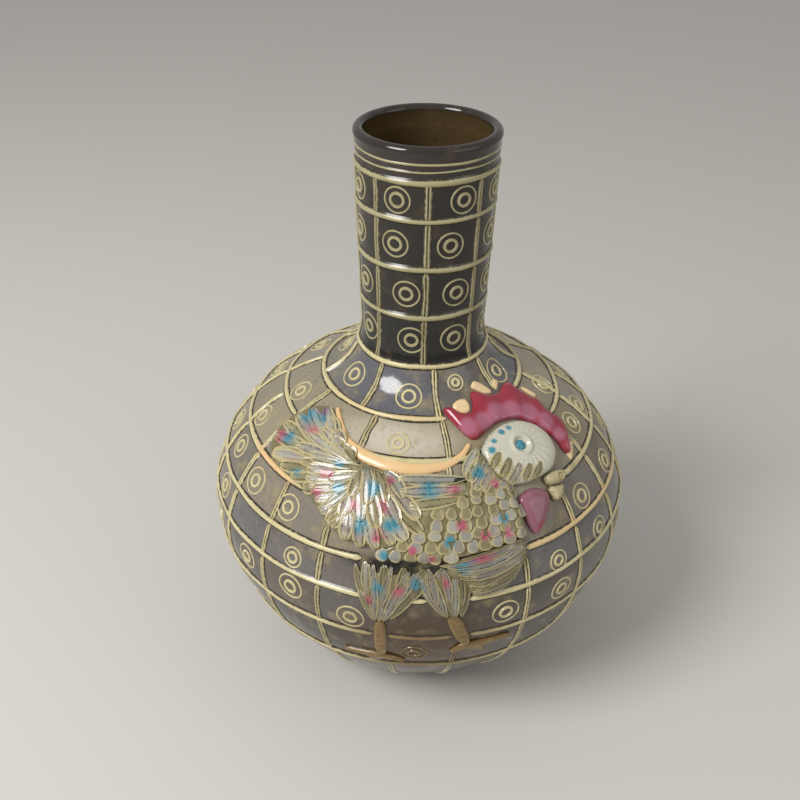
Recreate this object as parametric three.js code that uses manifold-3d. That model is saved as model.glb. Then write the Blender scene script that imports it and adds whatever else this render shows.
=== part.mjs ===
// A celestial globe vase of glazed stoneware: a round belly, a tall neck, slip-trailed cells and a moulded rooster.
// Millimetres, +Z up. The origin is on the floor under the vase's axis, and the rooster is on the -Y side.
import * as THREE from "three";
import { mergeVertices } from "three/addons/utils/BufferGeometryUtils.js";
import Module from "manifold-3d";

const wasm = await Module();
wasm.setup();

// Thrown body
const BELLY_RADIUS = 99;
const BELLY_HEIGHT = 89;
const CROWN_RISE = 73;
const CROWN_FULLNESS = 1.9;
const BOWL_DEPTH = 104;
const BOWL_FULLNESS = 1.75;
const SHOULDER_SHARE = 0.877;
const NECK_RADIUS = 27;
const NECK_FLARE = 2.6;
const NECK_TOP = 257;
const WALL = 4.2;
const FLOOR_THICKNESS = 6;

// Joints between the thrown sections
const JOINT_GAP = 0.3;
const TONGUE_LENGTH = 4;
const TONGUE_DEPTH = 2;
const COLLAR_TILT = 21.5;

// Rolled lip and foot ring
const LIP_HEIGHT = 9;
const LIP_ROLL = 2.3;
const FOOT_HEIGHT = 7;
const FOOT_RADIUS = 46;
const FOOT_WIDTH = 7;
const FOOT_BEVEL = 1;

// Slip cords and the cells between them: neck hoops as shares of the way up the neck,
// belly hoops by their rise above the widest line
const CORD_WIDTH = 2.2;
const CORD_PROUD = 1.4;
const NECK_HOOP_SHARES = [0.9331, 0.7272, 0.4505, 0.1661];
const NECK_COLUMNS = 8;
const NECK_TURN = 2;
const BELLY_ROWS = [
  { rise: 63.8, columns: 10, turn: 12 },
  { rise: 54.5, columns: 20, turn: 11 },
  { rise: 40.5, columns: 20, turn: 11 },
  { rise: 24, columns: 20, turn: 11 },
  { rise: 9.1, columns: 20, turn: 11 },
  { rise: -12.8, columns: 20, turn: 11 },
  { rise: -38.8, columns: 20, turn: 11 },
];
const COLLAR_COLUMNS = 8;
const COLLAR_TURN = 10.5;

// Facets round the vase, along the wall and in curved edges
const SIDES = 36;
const CROWN_STEPS = 8;
const BOWL_STEPS = 7;
const FILLET_STEPS = 3;
const LIP_STEPS = 6;
const RIB_STEP = 11;
const INSIDE_STRIDE = 2;

const radians = THREE.MathUtils.degToRad;

// Radius of the belly's outer wall at a height
function bellyRadius(z) {
  const above = z >= BELLY_HEIGHT;
  const reach = above ? CROWN_RISE : BOWL_DEPTH;
  const fullness = above ? CROWN_FULLNESS : BOWL_FULLNESS;
  const share = Math.abs(z - BELLY_HEIGHT) / reach;
  return BELLY_RADIUS * (1 - share ** fullness) ** (1 / fullness);
}

// The fillet starts on the crown at its slope and ends upright on the neck
const shoulderHeight = BELLY_HEIGHT + SHOULDER_SHARE * CROWN_RISE;
const shoulderRadius = bellyRadius(shoulderHeight);
const shoulderTilt = Math.atan(bellyRadius(shoulderHeight - 0.5) - bellyRadius(shoulderHeight + 0.5));
const filletRadius = (shoulderRadius - NECK_RADIUS) / (1 - Math.cos(shoulderTilt));
const neckFoot = shoulderHeight + filletRadius * Math.sin(shoulderTilt);
const collarHeight = neckFoot - filletRadius * Math.sin(radians(COLLAR_TILT));

// Radius of the whole outer wall at a height
function wallRadius(z) {
  if (z <= shoulderHeight) return bellyRadius(z);
  if (z < neckFoot) {
    return NECK_RADIUS + filletRadius - Math.sqrt(filletRadius ** 2 - (neckFoot - z) ** 2);
  }
  return NECK_RADIUS + (NECK_FLARE * (z - neckFoot)) / (NECK_TOP - neckFoot);
}

// The wall as points with their length along it, counted up and down from the widest line
const TRACE_STEP = 0.25;
function trace(direction, end) {
  const points = [{ s: 0, r: BELLY_RADIUS, z: BELLY_HEIGHT }];
  const count = Math.ceil(Math.abs(end - BELLY_HEIGHT) / TRACE_STEP);
  for (let i = 1; i <= count; i += 1) {
    const last = points[points.length - 1];
    const z = BELLY_HEIGHT + ((end - BELLY_HEIGHT) * i) / count;
    const r = wallRadius(z);
    points.push({ s: last.s + direction * Math.hypot(r - last.r, z - last.z), r, z });
  }
  return points;
}
const wallTop = NECK_TOP + LIP_HEIGHT;
const wall = [...trace(-1, 0).reverse(), ...trace(1, wallTop).slice(1)];

function between(key, value) {
  const i = Math.min(Math.max(wall.findIndex((point) => point[key] >= value), 1), wall.length - 1);
  const [low, high] = [wall[i - 1], wall[i]];
  const t = (value - low[key]) / (high[key] - low[key]);
  const mix = (name) => low[name] + (high[name] - low[name]) * t;
  const slope = Math.hypot(high.r - low.r, high.z - low.z);
  return {
    s: mix("s"),
    r: mix("r"),
    z: mix("z"),
    outward: (high.z - low.z) / slope,
    upward: (low.r - high.r) / slope,
  };
}
const arcAt = (z) => between("z", z).s;

// A profile point at a length along the wall, standing proud of it, as radius and height
function profilePoint(s, proud = 0) {
  const point = between("s", s);
  return [point.r + proud * point.outward, point.z + proud * point.upward];
}

// The same point turned to an azimuth, which is 0 at the front and grows to the right
function wallPoint(azimuth, s, proud) {
  const [r, z] = profilePoint(s, proud);
  return [r * Math.sin(radians(azimuth)), -r * Math.cos(radians(azimuth)), z];
}

const spread = (from, to, steps) => Array.from({ length: steps + 1 }, (_, i) => from + ((to - from) * i) / steps);
const footArc = arcAt(FOOT_HEIGHT);
const shoulderArc = arcAt(shoulderHeight);
const collarArc = arcAt(collarHeight);
const neckFootArc = arcAt(neckFoot);
const neckTopArc = arcAt(NECK_TOP);
const wallSteps = [
  ...spread(footArc, 0, BOWL_STEPS),
  ...spread(0, shoulderArc, CROWN_STEPS).slice(1),
  ...spread(shoulderArc, collarArc, FILLET_STEPS).slice(1),
  ...spread(collarArc, neckFootArc, FILLET_STEPS - 1).slice(1),
  neckTopArc,
];
const stepsBetween = (from, to) => wallSteps.filter((s) => s > from + 1 && s < to - 1);

function geometryOf(positions, index) {
  const geometry = new THREE.BufferGeometry();
  geometry.setAttribute("position", new THREE.Float32BufferAttribute(positions.flat(), 3));
  geometry.setIndex(index);
  return geometry;
}

function solidOf(geometry) {
  const bare = geometry.clone();
  bare.deleteAttribute("normal");
  bare.deleteAttribute("uv");
  const merged = mergeVertices(bare, 1e-4);
  const vertProperties = new Float32Array(merged.attributes.position.array);
  const triVerts = new Uint32Array(merged.index.array);
  return new wasm.Manifold(new wasm.Mesh({ numProp: 3, vertProperties, triVerts }));
}

function facetsOf(solid) {
  const { vertProperties, triVerts } = solid.getMesh();
  const geometry = new THREE.BufferGeometry();
  geometry.setAttribute("position", new THREE.BufferAttribute(vertProperties, 3));
  geometry.setIndex(new THREE.BufferAttribute(triVerts, 1));
  const facets = geometry.toNonIndexed();
  facets.computeVertexNormals();
  return facets;
}

const vase = new THREE.Group();
function addMesh(name, geometry, look) {
  const mesh = new THREE.Mesh(geometry, new THREE.MeshStandardMaterial({ metalness: 0, ...look }));
  mesh.name = name;
  vase.add(mesh);
}

const DARK_GLAZE = { color: 0x2a241f, roughness: 0.15 };
const BELLY_GLAZE = { color: 0x5b544f, roughness: 0.2 };
const CORD_SLIP = { color: 0xb9ab84, roughness: 0.35 };
const PEACH_SLIP = { color: 0xe5bf8d, roughness: 0.35 };
const FEATHER_GLAZE = { color: 0xa9a791, roughness: 0.25 };
const COMB_GLAZE = { color: 0x9c3347, roughness: 0.12 };
const LEG_GLAZE = { color: 0x9a7a45, roughness: 0.3 };
const EYE_GLAZE = { color: 0x3f93a6, roughness: 0.15 };
const BARE_CLAY = { color: 0x8b7358, roughness: 0.9 };

// The thrown sections join on a tongue: the lower one's tongue stands inside the upper one's recess
const tongueUp = (s) => [
  profilePoint(s - JOINT_GAP / 2),
  profilePoint(s - JOINT_GAP / 2, -TONGUE_DEPTH),
  profilePoint(s + TONGUE_LENGTH, -TONGUE_DEPTH),
  profilePoint(s + TONGUE_LENGTH, -WALL),
];
const recessDown = (s) => [
  profilePoint(s + TONGUE_LENGTH + JOINT_GAP, -WALL),
  profilePoint(s + TONGUE_LENGTH + JOINT_GAP, JOINT_GAP - TONGUE_DEPTH),
  profilePoint(s + JOINT_GAP / 2, JOINT_GAP - TONGUE_DEPTH),
  profilePoint(s + JOINT_GAP / 2),
];

function revolve(profile) {
  const points = profile.map(([r, z]) => new THREE.Vector2(r, z));
  return new THREE.LatheGeometry(points, SIDES).rotateX(Math.PI / 2);
}
const closed = (profile) => [...profile, profile[0]];
const outside = (from, to) => stepsBetween(from, to).map((s) => profilePoint(s));
const inside = (from, to) => stepsBetween(from, to)
  .filter((_, i) => i % INSIDE_STRIDE === 0)
  .reverse()
  .map((s) => profilePoint(s, -WALL));

function footRing() {
  const inner = FOOT_RADIUS - FOOT_WIDTH;
  return closed([
    [inner + FOOT_BEVEL, 0],
    [FOOT_RADIUS - FOOT_BEVEL, 0],
    [FOOT_RADIUS, FOOT_BEVEL],
    [FOOT_RADIUS, FOOT_HEIGHT - JOINT_GAP / 2],
    [inner, FOOT_HEIGHT - JOINT_GAP / 2],
    [inner, FOOT_BEVEL],
  ]);
}

function lowerBody() {
  const floorTop = FOOT_HEIGHT + FLOOR_THICKNESS;
  const floorEdge = wallRadius(floorTop) - WALL;
  return [
    [0, FOOT_HEIGHT + JOINT_GAP / 2],
    profilePoint(arcAt(FOOT_HEIGHT + JOINT_GAP / 2)),
    ...outside(footArc, 0),
    ...tongueUp(0),
    ...inside(footArc, 0).filter(([, z]) => z > floorTop + 1),
    [floorEdge - FLOOR_THICKNESS / 2, floorTop],
    [0, floorTop],
  ];
}

const thrownSection = (from, to) => closed([
  ...recessDown(from),
  ...outside(from, to),
  ...tongueUp(to),
  ...inside(from + TONGUE_LENGTH, to),
]);

function mouthRim() {
  const start = recessDown(neckTopArc);
  const centre = [wallRadius(wallTop) - WALL / 2 + 0.5, wallTop - LIP_ROLL];
  const roll = spread(-30, 210, LIP_STEPS).map((turn) => [
    centre[0] + LIP_ROLL * Math.cos(radians(turn)),
    centre[1] + LIP_ROLL * Math.sin(radians(turn)),
  ]);
  return closed([...start, ...roll]);
}

addMesh("foot_ring", revolve(footRing()), BARE_CLAY);
addMesh("lower_body", revolve(lowerBody()), BELLY_GLAZE);
addMesh("upper_body", revolve(thrownSection(0, collarArc)), BELLY_GLAZE);
addMesh("neck_tube", revolve(thrownSection(collarArc, neckTopArc)), DARK_GLAZE);
addMesh("mouth_rim", revolve(mouthRim()), DARK_GLAZE);

// A closed layer all round the wall between two standing heights
function wallLayer(azimuths, arcs, low, high) {
  const rows = arcs.length;
  const positions = [];
  for (const proud of [high, low]) {
    for (const azimuth of azimuths) for (const s of arcs) positions.push(wallPoint(azimuth, s, proud));
  }
  const under = azimuths.length * rows;
  const at = (u, v, below) => (u % azimuths.length) * rows + v + (below ? under : 0);
  const index = [];
  const quad = (a, b, c, d) => index.push(a, b, c, a, c, d);
  const top = rows - 1;
  for (let u = 0; u < azimuths.length; u += 1) {
    for (let v = 0; v < top; v += 1) {
      quad(at(u, v), at(u + 1, v), at(u + 1, v + 1), at(u, v + 1));
      quad(at(u, v, true), at(u, v + 1, true), at(u + 1, v + 1, true), at(u + 1, v, true));
    }
    quad(at(u, 0, true), at(u + 1, 0, true), at(u + 1, 0), at(u, 0));
    quad(at(u, top), at(u + 1, top), at(u + 1, top, true), at(u, top, true));
  }
  return solidOf(geometryOf(positions, index));
}

// A trailed cord along [azimuth, length along the wall] points, three-sided, with its ridge outwards
function trailedCord(path, closes = false) {
  const positions = [];
  const last = path.length - 1;
  const points = closes ? path.slice(0, last) : path;
  points.forEach(([azimuth, s], i) => {
    const radius = wallRadius(between("s", s).z);
    const before = path[Math.max(i - 1, 0)];
    const after = path[Math.min(i + 1, last)];
    const along = new THREE.Vector2(radians(after[0] - before[0]) * radius, after[1] - before[1]);
    along.setLength(CORD_WIDTH / 2);
    const sideways = THREE.MathUtils.radToDeg(along.y / radius);
    positions.push(wallPoint(azimuth - sideways, s + along.x, JOINT_GAP));
    positions.push(wallPoint(azimuth + sideways, s - along.x, JOINT_GAP));
    positions.push(wallPoint(azimuth, s, CORD_PROUD));
  });
  const index = [];
  const quad = (a, b, c, d) => index.push(a, b, c, a, c, d);
  for (let i = 0; i < last; i += 1) {
    const [left, right, ridge] = [3 * i, 3 * i + 1, 3 * i + 2];
    const next = 3 * ((i + 1) % points.length);
    quad(ridge, next + 2, next, left);
    quad(right, next + 1, next + 2, ridge);
    quad(left, next, next + 1, right);
  }
  if (!closes) index.push(0, 1, 2, 3 * last, 3 * last + 2, 3 * last + 1);
  return solidOf(geometryOf(positions, index));
}

// A prism square to the wall, from an outline of [azimuth, length along the wall] points
const LEAN_LIMIT = shoulderArc;
const PRISM_UNDER = -2.5;
const PRISM_OVER = 40;
function wallPrism(outline) {
  const contour = outline.map(([azimuth, s]) => new THREE.Vector2(radians(azimuth) * BELLY_RADIUS, s));
  const points = THREE.ShapeUtils.area(contour) < 0 ? [...outline].reverse() : outline;
  const flat = THREE.ShapeUtils.area(contour) < 0 ? [...contour].reverse() : contour;
  const positions = [];
  for (const proud of [PRISM_OVER, PRISM_UNDER]) {
    for (const [azimuth, s] of points) {
      const lean = between("s", Math.min(s, LEAN_LIMIT));
      const [r, z] = profilePoint(s);
      const radius = r + proud * lean.outward;
      const a = radians(azimuth);
      positions.push([radius * Math.sin(a), -radius * Math.cos(a), z + proud * lean.upward]);
    }
  }
  const count = points.length;
  const index = [];
  for (const [a, b, c] of THREE.ShapeUtils.triangulateShape(flat, [])) {
    index.push(a, b, c, count + c, count + b, count + a);
  }
  for (let i = 0; i < count; i += 1) {
    const j = (i + 1) % count;
    index.push(count + i, count + j, j, count + i, j, i);
  }
  return solidOf(geometryOf(positions, index));
}

const ringAzimuths = spread(0, 360, SIDES);
const reliefArcs = wallSteps.filter((s) => s < collarArc + 1);
const reliefLayer = (low, high) => wallLayer(ringAzimuths.slice(0, SIDES), reliefArcs, low, high);

function largestPiece(solid) {
  return solid.decompose().sort((a, b) => b.volume() - a.volume())[0];
}

// Footprint that the rooster keeps clear of cords
const ROOSTER_FOOTPRINT = [
  [-20, -34], [17, -34], [28, -22], [17, -12], [16, 8], [31, 10], [33, 25], [43, 32], [53, 37], [61, 46],
  [70, 58], [71, 78], [69, 96], [50, 95], [40, 101], [30, 93], [11, 96], [9, 84], [12, 72], [0, 67],
  [-12, 68], [-22, 70], [-31, 73], [-38, 79], [-46, 85], [-56, 83], [-63, 74], [-65, 58], [-59, 45],
  [-37, 41], [-27, 32], [-19, 28], [-17, 6], [-13, -6], [-14, -26],
];
const footprint = wallPrism(ROOSTER_FOOTPRINT);

// One hoop with the ribs that hang from it down to the next hoop
function cordRow(height, lower, columns, turn) {
  const arc = arcAt(height);
  let row = trailedCord(ringAzimuths.map((azimuth) => [azimuth, arc]), true);
  const end = arcAt(lower) + CORD_WIDTH / 2 + JOINT_GAP;
  const steps = Math.ceil((arc - end) / RIB_STEP);
  for (let i = 0; i < columns; i += 1) {
    const azimuth = turn + (360 * i) / columns;
    row = row.add(trailedCord(spread(end, arc, steps).map((s) => [azimuth, s])));
  }
  return facetsOf(largestPiece(row.subtract(footprint)));
}

const neckHoops = NECK_HOOP_SHARES.map((share) => neckFoot + share * (NECK_TOP - neckFoot));
const bellyHoops = BELLY_ROWS.map(({ rise }) => BELLY_HEIGHT + rise);
neckHoops.forEach((height, i) => {
  const lower = neckHoops[i + 1] ?? collarHeight;
  addMesh(`neck_cords_${i + 1}`, cordRow(height, lower, NECK_COLUMNS, NECK_TURN), CORD_SLIP);
});
addMesh("collar_cords", cordRow(collarHeight, bellyHoops[0], COLLAR_COLUMNS, COLLAR_TURN), CORD_SLIP);
BELLY_ROWS.forEach(({ columns, turn }, i) => {
  const lower = bellyHoops[i + 1] ?? FOOT_HEIGHT;
  addMesh(`belly_cords_${i + 1}`, cordRow(bellyHoops[i], lower, columns, turn), CORD_SLIP);
});

// Each outline is drawn in by half the joint gap, so that neighbours with the same edge stay apart
function drawnIn(outline) {
  const flat = outline.map(([azimuth, s]) => new THREE.Vector2(radians(azimuth) * wallRadius(between("s", s).z), s));
  const turnSign = Math.sign(THREE.ShapeUtils.area(flat));
  return outline.map(([azimuth, s], i) => {
    const here = flat[i];
    const before = flat[(i + flat.length - 1) % flat.length];
    const after = flat[(i + 1) % flat.length];
    const first = here.clone().sub(before).normalize();
    const second = after.clone().sub(here).normalize();
    const inward = new THREE.Vector2(-first.y - second.y, first.x + second.x);
    const scale = (turnSign * JOINT_GAP * 0.7) / Math.max(1 + first.dot(second), 0.4);
    const radius = wallRadius(between("s", s).z);
    return [azimuth + THREE.MathUtils.radToDeg((inward.x * scale) / radius), s + inward.y * scale];
  });
}

// The moulded rooster: outlines as [azimuth, length up the wall from the widest line], with the height of each piece
const ROOSTER = {
  tail_feathers: { proud: 3, look: FEATHER_GLAZE, outline: [
    [-57, 49], [-47, 53], [-40, 57], [-33, 61], [-21, 62.7], [-24, 65], [-31, 69], [-38, 75.5], [-45, 80.5],
    [-51, 80], [-57, 75.5], [-61, 65], [-60.5, 56],
  ] },
  saddle_feathers: { proud: 3.5, look: FEATHER_GLAZE, outline: [
    [-57, 49], [-50, 46.5], [-36, 46], [-29, 39.5], [-24.5, 35], [-21.8, 47], [-21, 62.7], [-33, 61], [-40, 57],
    [-47, 53],
  ] },
  wing: { proud: 5, look: FEATHER_GLAZE, outline: [
    [-24.5, 35], [-17, 31], [-8, 31.5], [-2, 35], [1, 41], [-2.5, 47], [-7.8, 56], [-13, 62], [-21, 62.7],
    [-21.8, 47],
  ] },
  back_feathers: { proud: 4, look: FEATHER_GLAZE, outline: [
    [-2.5, 47], [5, 49], [14, 50.5], [16, 57.5], [8, 59], [-1, 60], [-7.8, 56],
  ] },
  breast: { proud: 6, look: FEATHER_GLAZE, outline: [
    [1, 41], [-2, 35], [-8, 31.5], [-9, 27.5], [0, 26.5], [10, 28.5], [20, 30], [29.5, 32], [30.5, 41], [29, 51],
    [24, 53], [14, 50.5], [5, 49], [-2.5, 47],
  ] },
  hackle_feathers: { proud: 5, look: FEATHER_GLAZE, outline: [
    [14, 50.5], [24, 53], [29, 51], [28, 54.6], [25, 62.6], [24, 69.6], [20, 67], [16, 57.5],
  ] },
  breast_fringe: { proud: 3.5, look: FEATHER_GLAZE, outline: [
    [8, 26.5], [20, 29], [29.5, 31], [29, 23], [25, 15], [18, 11.5], [13.5, 11.5], [12.5, 18], [8, 20],
  ] },
  left_thigh: { proud: 2.5, look: FEATHER_GLAZE, outline: [
    [-15.5, 21], [-13, 10], [-11, 1], [-10, -2.5], [-6.8, -2], [-3, 9.5], [1, 14], [1, 20.5],
  ] },
  right_thigh: { proud: 2.5, look: FEATHER_GLAZE, outline: [
    [1, 14], [4, 6.5], [7, 1], [11, 2], [13, 6], [12.5, 18], [8, 20], [1, 20.5],
  ] },
  left_shank: { proud: 2.2, look: LEG_GLAZE, outline: [[-10.3, -29.5], [-6.8, -29.5], [-6.8, -2], [-10, -2.5]] },
  right_shank: { proud: 2.2, look: LEG_GLAZE, outline: [[11.8, -19.5], [15, -18.5], [11, 2], [7, 1]] },
  left_foot: { proud: 1.8, look: LEG_GLAZE, outline: [
    [-10.3, -29.5], [-19, -30.5], [-19.3, -32.5], [-12, -33], [-12.5, -37], [-10.5, -37], [-7, -33], [-3, -36],
    [-2, -34.5], [-6.8, -29.5],
  ] },
  right_foot: { proud: 1.8, look: LEG_GLAZE, outline: [
    [11.8, -19.5], [9, -25], [10.5, -26], [14, -23], [18, -28], [19.5, -27], [17.5, -22.5], [26, -21], [25.5, -18.5],
    [15, -18.5],
  ] },
  head: { proud: 6.5, look: FEATHER_GLAZE, hole: { centre: [39.5, 65.6], radius: 4 }, outline: [
    [24, 69.6], [25, 62.6], [28, 54.6], [33, 50.6], [42.4, 50.5], [47, 50.6], [53, 55.6], [55, 63], [53, 70.6],
    [47, 76.2], [38, 77.6], [30, 75.2],
  ] },
  comb: { proud: 3.6, look: COMB_GLAZE, outline: [
    [13, 91.5], [15, 93.2], [19, 92.6], [22, 89.2], [28, 87.6], [32, 90.6], [35, 98], [40, 96.6], [45, 92.6],
    [53, 91], [62, 93], [66, 92], [65.5, 86.6], [66, 80.6], [68.5, 76.6], [66, 70.6], [68, 64.6], [67, 59.6],
    [62, 53.6], [59, 50.2], [57, 52.6], [58, 58.6], [56.5, 65], [54, 72.5], [48, 78], [39, 79.8], [30, 77.5],
    [24, 74.6], [20, 79.6], [16, 86.6],
  ] },
  wattle: { proud: 4, look: COMB_GLAZE, outline: [
    [31, 41], [31.5, 34.6], [33, 28.6], [37, 32.6], [41, 38.6], [41.8, 44.6], [37, 48.6], [31, 46.6],
  ] },
  upper_beak: { proud: 5, look: FEATHER_GLAZE, outline: [
    [42.4, 45.5], [47, 43.5], [51, 45], [50.5, 48.5], [47, 50], [42.4, 50],
  ] },
  lower_beak: { proud: 4, look: FEATHER_GLAZE, outline: [
    [42.4, 38], [46, 38.5], [48.5, 43], [47, 43.5], [42.4, 45.5],
  ] },
};

const disc = ([azimuth, s], radius) => spread(0, 360, 12).slice(0, 12).map((turn) => [
  azimuth + THREE.MathUtils.radToDeg((radius * Math.cos(radians(turn))) / wallRadius(between("s", s).z)),
  s + radius * Math.sin(radians(turn)),
]);

for (const [name, { proud, look, outline, hole }] of Object.entries(ROOSTER)) {
  let piece = wallPrism(drawnIn(outline)).intersect(reliefLayer(JOINT_GAP, proud));
  if (hole) piece = piece.subtract(wallPrism(disc(hole.centre, hole.radius)));
  addMesh(name, facetsOf(largestPiece(piece)), look);
}

// A thick peach cord runs along the rooster's back, from the tail to the hackle
const BACK_LINE = [
  [-46, 83.5], [-38, 77.5], [-31, 71.5], [-22, 68], [-12, 66.2], [0, 65], [10, 66.6], [17, 70], [21.5, 75],
];
addMesh("back_outline_cord", facetsOf(trailedCord(BACK_LINE)), PEACH_SLIP);

// The eye is a glazed button in the head's socket
const { hole: socket, proud: headProud } = ROOSTER.head;
const eye = wallPrism(disc(socket.centre, socket.radius - JOINT_GAP));
addMesh("eye", facetsOf(eye.intersect(reliefLayer(JOINT_GAP, headProud + 0.5))), EYE_GLAZE);

export default vase;
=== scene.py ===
# A celestial globe vase of glazed stoneware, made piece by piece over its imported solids.
# Sizes are millimetres on the wall of the vase, and the finished meshes are metres.
import math

import bpy
import numpy as np
from mathutils import Matrix, Vector


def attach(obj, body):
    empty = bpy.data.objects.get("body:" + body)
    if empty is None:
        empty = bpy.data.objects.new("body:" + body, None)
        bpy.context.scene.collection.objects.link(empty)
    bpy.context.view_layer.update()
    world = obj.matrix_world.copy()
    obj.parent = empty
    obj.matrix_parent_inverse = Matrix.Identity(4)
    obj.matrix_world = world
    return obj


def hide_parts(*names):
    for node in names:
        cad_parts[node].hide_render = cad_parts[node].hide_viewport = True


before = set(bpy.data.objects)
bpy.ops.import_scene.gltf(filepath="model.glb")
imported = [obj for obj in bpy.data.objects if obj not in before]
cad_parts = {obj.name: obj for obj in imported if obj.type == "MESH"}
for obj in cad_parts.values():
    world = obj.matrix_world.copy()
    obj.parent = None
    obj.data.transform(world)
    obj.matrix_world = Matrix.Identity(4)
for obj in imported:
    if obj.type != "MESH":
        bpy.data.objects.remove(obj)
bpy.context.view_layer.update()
bpy.ops.object.select_all(action="DESELECT")
MM = 0.001


# Camera
# It stands in front of the vase, above the mouth, and looks down at the rooster.
PHOTO_SIDE = 800
FOCAL_PIXELS = 971.98
SENSOR = 36
CAMERA_PLACE = Vector((0, -388.16, 387.03)) * MM
PITCH = math.radians(33.22)
YAW = math.radians(-1.445)
ROLL = math.radians(0.78)
forward = Vector((math.sin(YAW) * math.cos(PITCH), math.cos(YAW) * math.cos(PITCH), -math.sin(PITCH)))
level_right = forward.cross(Vector((0, 0, 1))).normalized()
level_up = level_right.cross(forward)
camera_right = level_right * math.cos(ROLL) + level_up * math.sin(ROLL)
camera_up = level_up * math.cos(ROLL) - level_right * math.sin(ROLL)
bpy.ops.object.camera_add()
camera = bpy.context.object
camera.name = "photo_camera"
camera.data.sensor_width = SENSOR
camera.data.lens = FOCAL_PIXELS / PHOTO_SIDE * SENSOR
camera.data.clip_start = 0.01
turned_camera = Matrix((camera_right, camera_up, -forward)).transposed().to_4x4()
camera.matrix_world = Matrix.Translation(CAMERA_PLACE) @ turned_camera
bpy.context.scene.camera = camera


# Floor and studio light
# A plain pale floor under an even pale room, with one large soft lamp from the upper left
# and a weak one from the right.
FLOOR_COLOUR = "#d2cfc9"
ROOM_COLOUR = "#e9e8e6"
ROOM_STRENGTH = 0.55
LAMPS = {
    "key_lamp": {"place": (-0.75, -0.6, 1.0), "size": 0.6, "power": 13.0},
    "fill_lamp": {"place": (0.9, -0.5, 0.6), "size": 0.8, "power": 1.2},
}


def linear(hex_colour):
    """Turns an sRGB hex value to the linear colour that a shader takes."""
    channels = [int(hex_colour[i:i + 2], 16) / 255 for i in (1, 3, 5)]
    return tuple(c / 12.92 if c <= 0.04045 else ((c + 0.055) / 1.055) ** 2.4 for c in channels) + (1.0,)


def add_node(tree, kind, inputs=(), **settings):
    """Adds a node with its settings. An input is a plain value, or a node and its output."""
    node = tree.nodes.new(kind)
    for name, value in settings.items():
        setattr(node, name, value)
    for key, value in dict(inputs).items():
        if isinstance(value, tuple) and isinstance(value[0], bpy.types.Node):
            tree.links.new(value[0].outputs[value[1]], node.inputs[key])
        else:
            node.inputs[key].default_value = value
    return node


def new_material(name):
    """A material with an empty node tree."""
    material = bpy.data.materials.new(name)
    material.use_nodes = True
    material.node_tree.nodes.clear()
    return material, material.node_tree


bpy.ops.mesh.primitive_circle_add(vertices=96, radius=5, fill_type="NGON")
floor = bpy.context.object
floor.name = "studio_floor"
paper, tree = new_material("matt_paper")
sheet = add_node(tree, "ShaderNodeBsdfPrincipled", {"Base Color": linear(FLOOR_COLOUR), "Roughness": 0.9})
add_node(tree, "ShaderNodeOutputMaterial", {"Surface": (sheet, 0)})
floor.data.materials.append(paper)

world = bpy.data.worlds.new("studio_room")
world.use_nodes = True
world.node_tree.nodes.clear()
room = add_node(world.node_tree, "ShaderNodeBackground", {
    "Color": linear(ROOM_COLOUR), "Strength": ROOM_STRENGTH,
})
add_node(world.node_tree, "ShaderNodeOutputWorld", {"Surface": (room, 0)})
bpy.context.scene.world = world

LAMP_TARGET = Vector((0, 0, 0.12))
for name, lamp in LAMPS.items():
    place = Vector(lamp["place"])
    bpy.ops.object.light_add(type="AREA", location=place)
    light = bpy.context.object
    light.name = name
    light.data.shape = "DISK"
    light.data.size = lamp["size"]
    light.data.energy = lamp["power"]
    light.rotation_mode = "QUATERNION"
    light.rotation_quaternion = (LAMP_TARGET - place).to_track_quat("-Z", "Y")
bpy.context.scene.view_settings.view_transform = "Standard"


# Thrown body
# The pot is thrown in sections of stoneware and luted into one: a foot ring, a round belly in
# two halves, a tall neck and a rolled lip. The lower half stands on the ring, which is left bare.
BELLY_RADIUS = 99
BELLY_HEIGHT = 89
CROWN_RISE = 73
CROWN_FULLNESS = 1.9
BOWL_DEPTH = 104
BOWL_FULLNESS = 1.75
SHOULDER_SHARE = 0.877
NECK_RADIUS = 27
NECK_FLARE = 2.6
NECK_TOP = 257
LIP_HEIGHT = 9
LIP_ROLL = 2.3
WALL = 4.2
FLOOR_THICKNESS = 6
COLLAR_TILT = math.radians(21.5)
FOOT_HEIGHT = 7
FOOT_RADIUS = 46
FOOT_WIDTH = 7
FOOT_BEVEL = 1
TURNED_STEPS = 216
TURNED_CREASE = math.radians(35)


def belly_radius(z):
    """Radius of the belly's outer wall at a height."""
    above = z >= BELLY_HEIGHT
    reach = CROWN_RISE if above else BOWL_DEPTH
    fullness = CROWN_FULLNESS if above else BOWL_FULLNESS
    return BELLY_RADIUS * (1 - (abs(z - BELLY_HEIGHT) / reach) ** fullness) ** (1 / fullness)


shoulder_height = BELLY_HEIGHT + SHOULDER_SHARE * CROWN_RISE
shoulder_radius = belly_radius(shoulder_height)
shoulder_tilt = math.atan(belly_radius(shoulder_height - 0.5) - belly_radius(shoulder_height + 0.5))
fillet_radius = (shoulder_radius - NECK_RADIUS) / (1 - math.cos(shoulder_tilt))
neck_foot = shoulder_height + fillet_radius * math.sin(shoulder_tilt)
collar_height = neck_foot - fillet_radius * math.sin(COLLAR_TILT)
wall_top = NECK_TOP + LIP_HEIGHT


def wall_radius(z):
    """Radius of the whole outer wall at a height."""
    if z <= shoulder_height:
        return belly_radius(z)
    if z < neck_foot:
        return NECK_RADIUS + fillet_radius - math.sqrt(fillet_radius ** 2 - (neck_foot - z) ** 2)
    return NECK_RADIUS + NECK_FLARE * (z - neck_foot) / (NECK_TOP - neck_foot)


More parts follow.
